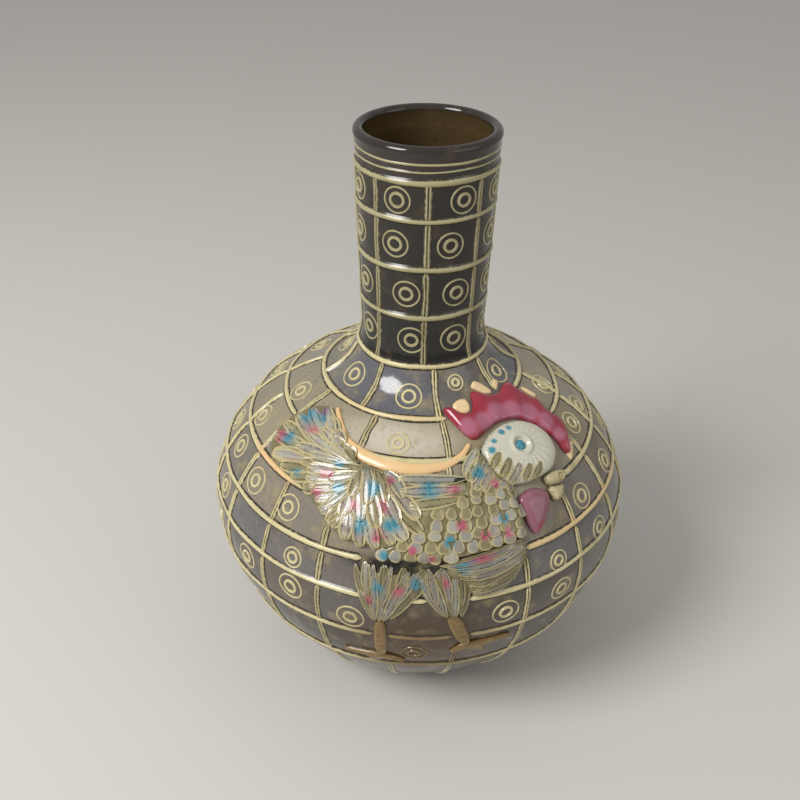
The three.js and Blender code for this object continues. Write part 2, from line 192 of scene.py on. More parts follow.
# The wall's length, counted up and down from the widest line, is how everything on it is placed
WALL_STEPS = 1065
heights = np.linspace(0, wall_top, WALL_STEPS)
radii = np.array([wall_radius(z) for z in heights])
arcs = np.concatenate(([0], np.cumsum(np.hypot(np.diff(radii), np.diff(heights)))))
arcs -= np.interp(BELLY_HEIGHT, heights, arcs)
outward = np.gradient(heights, arcs)
upward = -np.gradient(radii, arcs)


def arc_at(z):
    return np.interp(z, heights, arcs)


def radius_at(s):
    return np.interp(s, arcs, radii)


def profile_point(s, proud=0.0):
    """Radius and height at a length along the wall, standing proud of it."""
    r = radius_at(s) + proud * np.interp(s, arcs, outward)
    z = np.interp(s, arcs, heights) + proud * np.interp(s, arcs, upward)
    return r, z


def on_wall(azimuth, s, proud):
    """Points on the vase in metres; azimuth 0 is the front and grows to the right."""
    r, z = profile_point(s, proud)
    turn = np.radians(azimuth)
    return np.stack((r * np.sin(turn), -r * np.cos(turn), z), axis=-1) * MM


def pick(piece):
    """Makes a piece the one that operators act on."""
    bpy.ops.object.select_all(action="DESELECT")
    piece.select_set(True)
    bpy.context.view_layer.objects.active = piece


def turned(name, profile):
    """Turns a closed profile of (radius, height) points round the axis, or one that ends on it."""
    mesh = bpy.data.meshes.new(name)
    count = len(profile)
    on_axis = profile[0][0] == 0
    edges = [(i, (i + 1) % count) for i in range(count - 1 if on_axis else count)]
    mesh.from_pydata([(r * MM, 0, z * MM) for r, z in profile], edges, [])
    piece = bpy.data.objects.new(name, mesh)
    bpy.context.collection.objects.link(piece)
    pick(piece)
    screw = piece.modifiers.new("turn", "SCREW")
    screw.steps = screw.render_steps = TURNED_STEPS
    screw.use_merge_vertices = True
    screw.merge_threshold = 1e-6
    bpy.ops.object.modifier_apply(modifier="turn")
    bpy.ops.object.mode_set(mode="EDIT")
    bpy.ops.mesh.select_all(action="SELECT")
    bpy.ops.mesh.remove_doubles(threshold=1e-6)
    bpy.ops.mesh.normals_make_consistent(inside=False)
    bpy.ops.object.mode_set(mode="OBJECT")
    bpy.ops.object.shade_smooth_by_angle(angle=TURNED_CREASE)
    return piece


def stretch(start, end, step, proud=0.0):
    """Profile points along the wall from one length to another."""
    count = max(int(abs(end - start) / step), 2)
    return [profile_point(s, proud) for s in np.linspace(start, end, count + 1)]


OUTSIDE_STEP = 1.8
INSIDE_STEP = 6
foot_arc = arc_at(FOOT_HEIGHT)
collar_arc = arc_at(collar_height)
neck_top_arc = arc_at(NECK_TOP)
floor_top = FOOT_HEIGHT + FLOOR_THICKNESS
floor_arc = arc_at(floor_top + 2)
foot_inner = FOOT_RADIUS - FOOT_WIDTH
foot_profile = [
    (foot_inner + FOOT_BEVEL, 0), (FOOT_RADIUS - FOOT_BEVEL, 0), (FOOT_RADIUS, FOOT_BEVEL),
    (FOOT_RADIUS, FOOT_HEIGHT), (foot_inner, FOOT_HEIGHT), (foot_inner, FOOT_BEVEL),
]
lower_profile = [(0, FOOT_HEIGHT)] + stretch(foot_arc, 0, OUTSIDE_STEP)
lower_profile += stretch(0, floor_arc, INSIDE_STEP, -WALL)
lower_profile += [(profile_point(floor_arc, -WALL)[0] - 4, floor_top), (0, floor_top)]
upper_profile = stretch(0, collar_arc, OUTSIDE_STEP) + stretch(collar_arc, 0, INSIDE_STEP, -WALL)
neck_profile = stretch(collar_arc, neck_top_arc, OUTSIDE_STEP)
neck_profile += stretch(neck_top_arc, collar_arc, INSIDE_STEP, -WALL)
lip_centre = (wall_radius(wall_top) - WALL / 2 + 0.5, wall_top - LIP_ROLL)
lip_profile = [profile_point(neck_top_arc, -WALL), profile_point(neck_top_arc)]
for turn in range(-30, 211, 20):
    angle = math.radians(turn)
    across, up = LIP_ROLL * math.cos(angle), LIP_ROLL * math.sin(angle)
    lip_profile.append((lip_centre[0] + across, lip_centre[1] + up))
foot = turned("foot_ring_turned", foot_profile)
lower = turned("lower_belly_turned", lower_profile)
upper = turned("upper_belly_turned", upper_profile)
neck = turned("neck_turned", neck_profile)
lip = turned("lip_rolled", lip_profile)

# The glaze is grey-violet in the belly's cells, khaki on the shoulder and near black on the neck.
# Each cell took it a little differently, and it ran amber between the rooster's legs. Over this lie a
# khaki wash on the left of the shoulder, which is a painted sheen, and a near black wash in the gap
# under the breast, which is painted shadow.
NECK_GRID = {"columns": 8, "turn": 2}
BELLY_GRID = {"columns": 20, "turn": 11}
CORD_ROWS = [
    {"name": "neck_hoop_1", "node": "neck_cords_1", "height": 251.8, "cell": "#28221a", **NECK_GRID},
    {"name": "neck_hoop_2", "node": "neck_cords_2", "height": 235.8, "cell": "#241e17", **NECK_GRID},
    {"name": "neck_hoop_3", "node": "neck_cords_3", "height": 214.3, "cell": "#201b16", **NECK_GRID},
    {"name": "neck_hoop_4", "node": "neck_cords_4", "height": 192.2, "cell": "#1d1a17", **NECK_GRID},
    {"name": "collar_hoop", "node": "collar_cords", "height": collar_height, "cell": "#605d5e", "columns": 8,
     "turn": 10.5},
    {"name": "belly_hoop_1", "node": "belly_cords_1", "height": 152.8, "cell": "#a1977e", "columns": 10,
     "turn": 12},
    {"name": "belly_hoop_2", "node": "belly_cords_2", "height": 143.5, "cell": "#8f8773", **BELLY_GRID},
    {"name": "belly_hoop_3", "node": "belly_cords_3", "height": 129.5, "cell": "#7d766a", **BELLY_GRID},
    {"name": "belly_hoop_4", "node": "belly_cords_4", "height": 113, "cell": "#6b6662", **BELLY_GRID},
    {"name": "belly_hoop_5", "node": "belly_cords_5", "height": 98.1, "cell": "#595450", **BELLY_GRID},
    {"name": "belly_hoop_6", "node": "belly_cords_6", "height": 76.2, "cell": "#433e37", **BELLY_GRID},
    {"name": "belly_hoop_7", "node": "belly_cords_7", "height": 50.2, "cell": "#352d20", **BELLY_GRID},
]
NECK_ROWS = 4
MOST_COLUMNS = 24
LIP_GLAZE = "#2e2823"
INSIDE_GLAZE = "#4b3d27"
BODY_THINNESS = 0.6
GLAZE_WASHES_AND_PAINTED_LIGHT = [
    {"at": (-10, 77), "reach": (26, 9), "colour": "#c5bcaa", "strength": 0.95},
    {"at": (2, -22), "reach": (20, 26), "colour": "#4b3517", "strength": 0.95},
    {"at": (-32, -48), "reach": (22, 12), "colour": "#54401f", "strength": 0.8},
    # Painted shadow: the wall in the gap under the breast is washed near black.
    {"at": (-4, 24), "reach": (14, 4), "colour": "#15120f", "strength": 1.0},
    # Painted sheen: a khaki wash on the left of the shoulder, where light glances off the glaze.
    {"at": (-95, 75), "reach": (40, 40), "colour": "#8d8774", "strength": 0.6},
]


def shades(hex_colours):
    return np.array([linear(value) for value in hex_colours])


def washed(colours, azimuth, s, washes):
    """Lays soft-edged washes of colour over the colours at points of the wall."""
    for wash in washes:
        (at_azimuth, at_s), (wide, tall) = wash["at"], wash["reach"]
        away = np.hypot((azimuth - at_azimuth) / wide, (s - at_s) / tall)
        share = wash["strength"] * np.clip(1.6 - 1.2 * away, 0, 1)[:, None]
        colours = colours * (1 - share) + np.array(linear(wash["colour"])) * share
    return colours


def paint(piece, colours, raised):
    """Keeps the glaze's colour on the mesh, with how far it stands raised in the last channel."""
    colours = np.array(colours, dtype=np.float32)
    colours[:, 3] = raised
    attribute = piece.data.color_attributes.new("glaze_colour", "FLOAT_COLOR", "POINT")
    attribute.data.foreach_set("color", colours.ravel())


def glaze_body(piece):
    """Colours a thrown section cell by cell, then lays washes over it: glaze colours, a painted sheen and a
    painted shadow.
    """
    points = np.empty(len(piece.data.vertices) * 3)
    piece.data.vertices.foreach_get("co", points)
    x, y, z = points.reshape(-1, 3).T / MM
    azimuth = np.degrees(np.arctan2(x, -y))
    s = arc_at(z)
    rows = np.array([row["height"] for row in CORD_ROWS])
    row = np.clip((z[:, None] < rows[None, :]).sum(axis=1) - 1, 0, len(rows) - 1)
    columns = np.array([item["columns"] for item in CORD_ROWS])[row]
    turns = np.array([item["turn"] for item in CORD_ROWS])[row]
    column = np.floor(((azimuth - turns) % 360) / (360 / columns)).astype(int)
    cell = shades([item["cell"] for item in CORD_ROWS])
    dice = np.random.default_rng(11)
    brightness = dice.uniform(0.75, 1.2, (len(rows), MOST_COLUMNS))[row, column][:, None]
    warmth = dice.uniform(-1, 1, (len(rows), MOST_COLUMNS))[row, column][:, None]
    colours = cell[row] * brightness * (1 + warmth * np.array([[0.10, 0.03, -0.10, 0]]))
    colours = np.where((z > rows[0])[:, None], np.array(linear(LIP_GLAZE)), colours)
    # Washes of glaze colour, with a painted sheen on the left shoulder and painted shadow under the breast.
    colours = washed(colours, azimuth, s, GLAZE_WASHES_AND_PAINTED_LIGHT)
    within = (np.hypot(x, y) < radius_at(s) - WALL / 2) & (z < wall_top - LIP_ROLL)
    colours[within] = linear(INSIDE_GLAZE)
    paint(piece, colours, BODY_THINNESS)


GLAZE_WAVE = 14
GLAZE_WAVE_DEPTH = 1.2


def glaze(name, pooled, smear, smear_share, grain, roughness, unevenness):
    """A glossy stoneware glaze: pale where it is thin on ridges, dark where it pools beside them."""
    material, tree = new_material(name)
    place = add_node(tree, "ShaderNodeTexCoord")
    colour = add_node(tree, "ShaderNodeAttribute", attribute_name="glaze_colour")
    cloud = add_node(tree, "ShaderNodeTexNoise", {
        "Vector": (place, "Object"), "Scale": 1 / (grain * MM), "Detail": 4.0, "Roughness": 0.6,
    })
    smeared = add_node(tree, "ShaderNodeMapRange", {
        "Value": (cloud, 0), "From Min": 0.5, "From Max": 0.78, "To Max": smear_share,
    }, interpolation_type="SMOOTHSTEP")
    cloudy = add_node(tree, "ShaderNodeMix", {0: (smeared, 0), 6: (colour, "Color"), 7: linear(smear)},
                      data_type="RGBA")
    speckle = add_node(tree, "ShaderNodeTexNoise", {
        "Vector": (place, "Object"), "Scale": 6 / (grain * MM), "Detail": 2.0,
    })
    broken = add_node(tree, "ShaderNodeMath", {0: (speckle, 0), 1: -0.5}, operation="ADD")
    height = add_node(tree, "ShaderNodeMath", {0: (broken, 0), 1: 0.7, 2: (colour, "Alpha")},
                      operation="MULTIPLY_ADD")
    thin = add_node(tree, "ShaderNodeMapRange", {"Value": (height, 0), "From Min": 0.15, "From Max": 0.6},
                    interpolation_type="SMOOTHSTEP")
    broken_glaze = add_node(tree, "ShaderNodeMix", {0: (thin, 0), 6: linear(pooled), 7: (cloudy, 2)},
                            data_type="RGBA")
    waves = add_node(tree, "ShaderNodeTexNoise", {
        "Vector": (place, "Object"), "Scale": 1 / (GLAZE_WAVE * MM), "Detail": 2.0,
    })
    bump = add_node(tree, "ShaderNodeBump", {
        "Height": (waves, 0), "Strength": unevenness, "Distance": GLAZE_WAVE_DEPTH * MM,
    })
    surface = add_node(tree, "ShaderNodeBsdfPrincipled", {
        "Base Color": (broken_glaze, 2), "Roughness": roughness, "IOR": 1.52, "Normal": (bump, 0),
    })
    add_node(tree, "ShaderNodeOutputMaterial", {"Surface": (surface, 0)})
    return material


def finish_piece(piece, material, slot, *nodes):
    """Gives a piece its material and ties it to the pot."""
    piece.data.materials.clear()
    piece.data.materials.append(material)
    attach(piece, "root")
    if nodes:
        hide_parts(*nodes)


# Both are glossy glazes that break pale on edges: a cloudy grey-khaki one, and a near black one
belly_glaze = glaze("grey_khaki_stoneware_glaze", "#2b2620", "#a4966c", 0.65, 11, 0.12, 0.4)
neck_glaze = glaze("black_brown_stoneware_glaze", "#15110f", "#5a4a33", 0.45, 8, 0.1, 0.35)
# Bare stoneware is matt and buff, with fine dark grit where the foot was wiped clean of glaze
CLAY_GRIT = 0.8
bare_clay, tree = new_material("bare_buff_stoneware")
place = add_node(tree, "ShaderNodeTexCoord")
grit = add_node(tree, "ShaderNodeTexNoise", {
    "Vector": (place, "Object"), "Scale": 1 / (CLAY_GRIT * MM), "Detail": 3.0,
})
clay_colour = add_node(tree, "ShaderNodeMix", {0: (grit, 0), 6: linear("#7b6247"), 7: linear("#a58b68")},
                       data_type="RGBA")
clay_bump = add_node(tree, "ShaderNodeBump", {"Height": (grit, 0), "Strength": 0.4, "Distance": 0.3 * MM})
clay_surface = add_node(tree, "ShaderNodeBsdfPrincipled", {
    "Base Color": (clay_colour, 2), "Roughness": 0.85, "Normal": (clay_bump, 0),
})
add_node(tree, "ShaderNodeOutputMaterial", {"Surface": (clay_surface, 0)})
for piece in (lower, upper, neck, lip):
    glaze_body(piece)
finish_piece(foot, bare_clay, "bare_stoneware", "foot_ring")
finish_piece(lower, belly_glaze, "belly_glaze", "lower_body")
finish_piece(upper, belly_glaze, "belly_glaze", "upper_body")
finish_piece(neck, neck_glaze, "dark_glaze", "neck_tube")
finish_piece(lip, neck_glaze, "dark_glaze", "mouth_rim")


# Slip cords
# Soft clay is trailed in hoops round the pot, with upright ribs between them, so the wall is
# divided into cells. A hoop has one rounded ridge and a rib has two with a groove between.
# The cords stop at the rooster, whose outlines are given here as azimuth and length up the wall.
ROOSTER_OUTLINES = {
    "tail_feathers": [
        (-57, 49), (-47, 53), (-40, 57), (-33, 61), (-21, 62.7), (-24, 65), (-31, 69), (-38, 75.5),
        (-45, 80.5), (-51, 80), (-57, 75.5), (-61, 65), (-60.5, 56)],
    "saddle_feathers": [
        (-57, 49), (-50, 46.5), (-36, 46), (-29, 39.5), (-24.5, 35), (-21.8, 47), (-21, 62.7), (-33, 61),
        (-40, 57), (-47, 53)],
    "wing": [
        (-24.5, 35), (-17, 31), (-8, 31.5), (-2, 35), (1, 41), (-2.5, 47), (-7.8, 56), (-13, 62),
        (-21, 62.7), (-21.8, 47)],
    "back_feathers": [(-2.5, 47), (5, 49), (14, 50.5), (16, 57.5), (8, 59), (-1, 60), (-7.8, 56)],
    "breast": [
        (1, 41), (-2, 35), (-8, 31.5), (-9, 27.5), (0, 26.5), (10, 28.5), (20, 30), (29.5, 32), (30.5, 41),
        (29, 51), (24, 53), (14, 50.5), (5, 49), (-2.5, 47)],
    "hackle_feathers": [
        (14, 50.5), (24, 53), (29, 51), (28, 54.6), (25, 62.6), (24, 69.6), (20, 67), (16, 57.5)],
    "breast_fringe": [
        (8, 26.5), (20, 29), (29.5, 31), (29, 23), (25, 15), (18, 11.5), (13.5, 11.5), (12.5, 18), (8, 20)],
    "left_thigh": [
        (-15.5, 21), (-13, 10), (-11, 1), (-10, -2.5), (-6.8, -2), (-3, 9.5), (1, 14), (1, 20.5)],
    "right_thigh": [(1, 14), (4, 6.5), (7, 1), (11, 2), (13, 6), (12.5, 18), (8, 20), (1, 20.5)],
    "left_shank": [(-10.3, -29.5), (-6.8, -29.5), (-6.8, -2), (-10, -2.5)],
    "right_shank": [(11.8, -19.5), (15, -18.5), (11, 2), (7, 1)],
    "left_foot": [
        (-10.3, -29.5), (-19, -30.5), (-19.3, -32.5), (-12, -33), (-12.5, -37), (-10.5, -37), (-7, -33),
        (-3, -36), (-2, -34.5), (-6.8, -29.5)],
    "right_foot": [
        (11.8, -19.5), (9, -25), (10.5, -26), (14, -23), (18, -28), (19.5, -27), (17.5, -22.5), (26, -21),
        (25.5, -18.5), (15, -18.5)],
    "head": [
        (24, 69.6), (25, 62.6), (28, 54.6), (33, 50.6), (42.4, 50.5), (47, 50.6), (53, 55.6), (55, 63),
        (53, 70.6), (47, 76.2), (38, 77.6), (30, 75.2)],
    "comb": [
        (13, 91.5), (15, 93.2), (19, 92.6), (22, 89.2), (28, 87.6), (32, 90.6), (35, 98), (40, 96.6),
        (45, 92.6), (53, 91), (62, 93), (66, 92), (65.5, 86.6), (66, 80.6), (68.5, 76.6), (66, 70.6),
        (68, 64.6), (67, 59.6), (62, 53.6), (59, 50.2), (57, 52.6), (58, 58.6), (56.5, 65), (54, 72.5),
        (48, 78), (39, 79.8), (30, 77.5), (24, 74.6), (20, 79.6), (16, 86.6)],
    "wattle": [
        (31, 41), (31.5, 34.6), (33, 28.6), (37, 32.6), (41, 38.6), (41.8, 44.6), (37, 48.6), (31, 46.6)],
    "upper_beak": [(42.4, 45.5), (47, 43.5), (51, 45), (50.5, 48.5), (47, 50), (42.4, 50)],
    "lower_beak": [(42.4, 38), (46, 38.5), (48.5, 43), (47, 43.5), (42.4, 45.5)],
}
BACK_LINE = [
    (-46, 83.5), (-38, 77.5), (-31, 71.5), (-22, 68), (-12, 66.2), (0, 65), (10, 66.6), (17, 70),
    (21.5, 75)]
HOOP_SECTION = [
    (-2.1, -0.3), (-1.8, 0.12), (-1.15, 0.28), (-0.75, 0.95), (0, 1.25), (0.75, 0.95), (1.15, 0.28),
    (1.8, 0.12), (2.1, -0.3)]
RIB_SECTION = [
    (-1.9, -0.3), (-1.6, 0.1), (-1.1, 0.3), (-0.65, 0.95), (-0.15, 0.2), (0.15, 0.2), (0.65, 0.95),
    (1.1, 0.3), (1.6, 0.1), (1.9, -0.3)]
CORD_STEP = 1.6
CLAY_CREASE = math.radians(60)
# The cords also stop in the gap under the breast, whose wall is washed near black as painted shadow.
UNDERCUT = [(-17, 19), (15, 19), (13, 29), (-12, 29)]
SLIP_WASHES = [
    {"at": (2, -26), "reach": (22, 24), "colour": "#6d5127", "strength": 0.95},
    {"at": (-52, 46), "reach": (12, 6), "colour": "#e9bf88", "strength": 0.8},
    {"at": (-20, 88), "reach": (34, 5), "colour": "#e2c795", "strength": 0.6},
    {"at": (50, 25), "reach": (30, 4), "colour": "#e6c08a", "strength": 0.6},
]
WOBBLE_LENGTH = 14
WOBBLE = 0.3
CREAM_SLIP = "#d0c496"
NECK_SLIP = "#a8a07a"
PEACH_SLIP = "#e6c08c"


def inside(azimuth, s, outline):
    """True for the points that an outline holds."""
    result = np.zeros(len(azimuth), dtype=bool)
    for (a0, s0), (a1, s1) in zip(outline, outline[1:] + outline[:1]):
        crosses = (s0 > s) != (s1 > s)
        with np.errstate(divide="ignore", invalid="ignore"):
            meets = azimuth < (a1 - a0) * (s - s0) / (s1 - s0) + a0
        result ^= crosses & meets
    return result


def clear_of_rooster(azimuth, s):
    """True for the points that no part of the rooster covers."""
    azimuth = (azimuth + 180) % 360 - 180
    covered = np.zeros(len(azimuth), dtype=bool)
    for outline in [*ROOSTER_OUTLINES.values(), UNDERCUT]:
        covered |= inside(azimuth, s, outline)
    return ~covered


def trail(azimuth, s, section, slip, dice=None, closes=False, scale=1.0, broad=1.0):
    """A cord of clay along a path on the wall: its points, faces, UV map, colours and raised share."""
    azimuth, s = np.array(azimuth, float), np.array(s, float)
    count, across = len(azimuth), len(section)
    radius = radius_at(s)
    flat_x = np.radians(azimuth) * radius
    if closes:
        step_x = np.radians((np.roll(azimuth, -1) - np.roll(azimuth, 1) + 180) % 360 - 180) * radius
        step_y = np.roll(s, -1) - np.roll(s, 1)
    else:
        step_x, step_y = np.radians(np.gradient(azimuth)) * radius, np.gradient(s)
    size = np.maximum(np.hypot(step_x, step_y), 1e-9)
    step_x, step_y = step_x / size, step_y / size
    length = np.concatenate(([0], np.cumsum(np.hypot(np.diff(flat_x), np.diff(s)))))
    width, rise, drift = np.ones(count) * broad, np.ones(count), np.zeros(count)
    if dice is not None:
        knots = np.linspace(0, length[-1], max(int(length[-1] / WOBBLE_LENGTH), 3))
        swing = dice.uniform(-1, 1, (3, len(knots)))
        swing[:, -1] = swing[:, 0]
        width += 0.18 * np.interp(length, knots, swing[0])
        rise -= 0.14 * (1 + np.interp(length, knots, swing[1]))
        drift = WOBBLE * np.interp(length, knots, swing[2])
    if not closes:
        taper = np.clip(np.minimum(length, length[-1] - length) / 1.5 + 0.45, 0, 1)
        width, rise = width * taper, rise * taper
    offsets = np.array([point[0] for point in section]) * scale
    proud = np.array([point[1] for point in section]) * scale
    aside = offsets[None, :] * width[:, None] + drift[:, None]
    points = on_wall(
        azimuth[:, None] - np.degrees(step_y[:, None] * aside / radius[:, None]),
        s[:, None] + step_x[:, None] * aside,
        np.where(proud > 0, proud * rise[:, None], proud),
    ).reshape(-1, 3)
    runs = count if closes else count - 1
    faces = []
    for i in range(runs):
        here, after = i * across, ((i + 1) % count) * across
        for j in range(across):
            k = (j + 1) % across
            faces.append((here + j, after + j, after + k, here + k))
    if not closes:
        faces.append(tuple(range(across)))
        faces.append(tuple(range((count - 1) * across, count * across))[::-1])
    uv = np.stack(np.broadcast_arrays(length[:, None], np.linspace(0, 1, across)[None, :]), axis=-1)
    raised = np.clip(proud / max(proud.max(), 1e-6), 0, 1)[None, :] * np.ones((count, 1))
    colours = np.tile(np.array(linear(slip)), (count, 1))
    colours = washed(colours, (azimuth + 180) % 360 - 180, s, SLIP_WASHES)
    return points, faces, uv.reshape(-1, 2), np.repeat(colours, across, axis=0), raised.ravel()


def assemble(name, parts):
    """Joins parts into one piece with its UV map and glaze colours."""
    start, faces = 0, []
    for part in parts:
        faces += [tuple(corner + start for corner in face) for face in part[1]]
        start += len(part[0])
    points, uv, colours, raised = (np.concatenate([part[i] for part in parts]) for i in (0, 2, 3, 4))
    mesh = bpy.data.meshes.new(name)
    mesh.from_pydata(points.tolist(), [], faces)
    piece = bpy.data.objects.new(name, mesh)
    bpy.context.collection.objects.link(piece)
    pick(piece)
    bpy.ops.object.mode_set(mode="EDIT")
    bpy.ops.mesh.select_all(action="SELECT")
    bpy.ops.mesh.normals_make_consistent(inside=False)
    bpy.ops.object.mode_set(mode="OBJECT")
    layer = mesh.uv_layers.new(name="along_and_across")
    corners = np.empty(len(mesh.loops), dtype=np.int32)
    mesh.loops.foreach_get("vertex_index", corners)
    layer.data.foreach_set("uv", uv[corners].astype(np.float32).ravel())
    paint(piece, colours, raised)
    bpy.ops.object.shade_smooth_by_angle(angle=CLAY_CREASE)
    return piece


def runs_of(keep):
    """Start and end of each unbroken run of kept points."""
    ends = np.flatnonzero(np.diff(np.concatenate(([False], keep, [False])).astype(int)))
    return [(a, b) for a, b in zip(ends[::2], ends[1::2]) if b - a > 3]


# Cream slip shows through a clear glaze, which pools dark along both sides of a cord
cord_slip = glaze("cream_slip_under_glaze", "#332d22", "#8d8257", 0.6, 12, 0.22, 0.25)
dice = np.random.default_rng(5)
for index, row in enumerate(CORD_ROWS):
    slip = NECK_SLIP if index < NECK_ROWS else CREAM_SLIP
    arc = arc_at(row["height"])
    around = np.arange(0, 360, math.degrees(CORD_STEP / radius_at(arc)))
    keep = clear_of_rooster(around, np.full(len(around), arc))
    parts = []
    if keep.all():
        parts.append(trail(around, np.full(len(around), arc), HOOP_SECTION, slip, dice, closes=True))
    else:
        first = int(np.argmax(~keep))
        around = np.roll(around, -first)
        around = np.where(around < around[0], around + 360, around)
        for a, b in runs_of(clear_of_rooster(around, np.full(len(around), arc))):
            parts.append(trail(around[a:b], np.full(b - a, arc), HOOP_SECTION, slip, dice))
    below = CORD_ROWS[index + 1]["height"] if index + 1 < len(CORD_ROWS) else FOOT_HEIGHT
    for column in range(row["columns"]):
        azimuth = row["turn"] + 360 * column / row["columns"]
        up_wall = np.arange(arc_at(below), arc, CORD_STEP)
        for a, b in runs_of(clear_of_rooster(np.full(len(up_wall), azimuth), up_wall)):
            parts.append(trail(np.full(b - a, azimuth), up_wall[a:b], RIB_SECTION, slip, dice))
    cords = assemble(row["name"], parts)
    finish_piece(cords, cord_slip, "cream_slip", row["node"])


# Lines under the lip
# Two fine lines are drawn round the neck between the lip and the first hoop.
LIP_LINES = [(259.4, 0.5), (256.2, 0.35)]
line_parts = []
for height, scale in LIP_LINES:
    arc = arc_at(height)
    around = np.arange(0, 360, math.degrees(CORD_STEP / radius_at(arc)))
    line_parts.append(trail(around, np.full(len(around), arc), HOOP_SECTION, NECK_SLIP, dice, closes=True,
                            scale=scale))
finish_piece(assemble("lip_lines", line_parts), cord_slip, "cream_slip")


# Ring motifs
# Each cell holds a ring of thin slip round a smaller and thicker ring, both trailed by hand.
# The ones in front lie where they were drawn. The rest lie in the middle of their cells, and a
# cell beside a drawn ring gets none of its own.
RING_SECTION = [(-0.55, -0.3), (-0.3, 0.38), (0.3, 0.38), (0.55, -0.3)]
OUTER_RING = 5.8
INNER_RING = 2.7
RING_TURNS = 26
FRONT_RINGS = [
    (-23, 187, 1), (31, 187, 1), (-68, 187, 1), (-25, 168, 1), (21.5, 168, 1), (-70, 168, 1), (-15, 146, 1),
    (29.5, 146, 1), (-62, 146, 1), (-10, 124, 1), (30, 124, 1), (-58, 124, 1), (72, 146, 1), (74, 124, 1),
    (-56, 99.6, 1), (-8, 98.6, 1), (27, 103.6, 0.6), (69, 99, 1), (-9, 75.6, 0.8), (84, 75.6, 1),
    (-73, 75, 0.9), (-75, 53.6, 1), (87, 53.6, 1), (-72, 36.6, 1), (-55, 34.6, 1), (-39, 34.6, 1),
    (54, 32.6, 1), (74, 31.6, 1), (-33, 15.6, 0.8), (39, 13.6, 0.8), (57, 13.6, 0.9), (-50, -0.4, 1),
    (-33, 0.6, 1), (-16, -4.4, 1), (23, -2.4, 1), (40, -2.4, 1), (-70, -37, 1), (91, -29, 1), (0, -27, 1),
    (42, -49, 1),
]
FRONT_REACH = 60
RING_SPACE = 18
# The rings' slip is thinner, so their colour is greyer
ring_slip = glaze("ring_slip_under_glaze", "#332d22", "#7d7453", 0.7, 6, 0.2, 0.2)
RING_PLACES = {"neck_rings": [], "belly_rings": []}
for azimuth, s, size in FRONT_RINGS:
    RING_PLACES["neck_rings" if s > collar_arc else "belly_rings"].append((azimuth, s, size))
for index, row in enumerate(CORD_ROWS):
    below = CORD_ROWS[index + 1]["height"] if index + 1 < len(CORD_ROWS) else FOOT_HEIGHT + 8
    middle = (arc_at(row["height"]) + arc_at(below)) / 2
    spare = min(1, (arc_at(row["height"]) - arc_at(below) - 3.2) / (2 * OUTER_RING + 1))
    for column in range(row["columns"]):
        azimuth = row["turn"] + 360 * (column + 0.5) / row["columns"]
        azimuth = (azimuth + 180) % 360 - 180 + dice.uniform(-1.5, 1.5)
        nearest = min(math.hypot(math.radians(azimuth - at) * radius_at(middle), s - middle)
                      for at, s, _ in FRONT_RINGS)
        if abs(azimuth) > FRONT_REACH and nearest > RING_SPACE:
            RING_PLACES["neck_rings" if index < NECK_ROWS else "belly_rings"].append((azimuth, middle, spare))
for name, places in RING_PLACES.items():
    parts = []
    for azimuth, s, size in places:
        turn = np.linspace(0, 2 * math.pi, RING_TURNS, endpoint=False)
        for radius, thickness in ((OUTER_RING, 0.9), (INNER_RING, 1.5)):
            radius = radius * size * dice.uniform(0.93, 1.05)
            around = azimuth + np.degrees(radius * np.cos(turn) / radius_at(s))
            along = s + radius * np.sin(turn)
            if clear_of_rooster(around, along).all():
                slip = NECK_SLIP if name == "neck_rings" else CREAM_SLIP
                parts.append(trail(around, along, RING_SECTION, slip, closes=True, scale=thickness))
    rings = assemble(name, parts)
    finish_piece(rings, ring_slip, "cream_slip")


# Rooster
# The bird is built up in clay: slabs cut to shape are pressed on the wall side by side and
# rounded over, and leaf-shaped pats are laid on them for feathers, with small ones for scales.
# Khaki-cream glaze is thin on every ridge, with turquoise and pink enamel dabbed on top.
VOXEL = 0.55
SLAB_DEPTH = 3
SLAB_OVERLAP = 0.5
FEATHER_GROUND = "#77704f"
FEATHER_TOP = "#b7ac85"
TURQUOISE = "#3d8699"
PINK = "#ad5468"
MAUVE = "#86637f"
LEAF_ALONG = [0, 0.04, 0.18, 0.36, 0.55, 0.74, 0.89, 0.97, 1]
LEAF_ACROSS = [-1, -0.92, -0.74, -0.5, -0.26, 0, 0.26, 0.5, 0.74, 0.92, 1]
BARBED = [0, 1, 0.8, 0.25, 0.6, 0.85, 0.6, 0.25, 0.8, 1, 0]
DOMED = [0, 0.6, 0.85, 0.95, 1, 1, 1, 0.95, 0.85, 0.6, 0]
LEAF_SHADES = ["#95938a", "#8b8361", "#a4a294", "#837b5a", "#938c80"]
LEAF_RIM = "#c2b382"
BODY_ROUNDING = 4.5
BODY_EDGE = 1.3
BODY_PROUD = {
    "tail_feathers": 2.0, "saddle_feathers": 2.4, "wing": 4.0, "back_feathers": 3.3, "breast": 4.0,
    "hackle_feathers": 4.2, "breast_fringe": 2.7,
}


def rounded(outline, cuts=2):
    """Cuts the corners off an outline, as a wet sponge does."""
    points = np.array(outline, float)
    for _ in range(cuts):
        after = np.roll(points, -1, axis=0)
        pair = (0.78 * points + 0.22 * after, 0.22 * points + 0.78 * after)
        points = np.stack(pair, axis=1).reshape(-1, 2)
    return points


def edge_distance(x, y, loop):
    """Distance from points inside a loop to its edge, and below zero outside."""
    start, end = loop, np.roll(loop, -1, axis=0)
    along = end - start
    dx, dy = x[:, None] - start[:, 0], y[:, None] - start[:, 1]
    t = np.clip((dx * along[:, 0] + dy * along[:, 1]) / np.maximum((along ** 2).sum(axis=1), 1e-9), 0, 1)
    away = np.hypot(dx - t * along[:, 0], dy - t * along[:, 1]).min(axis=1)
    return np.where(inside(x, y, [tuple(point) for point in loop]), away, -away)


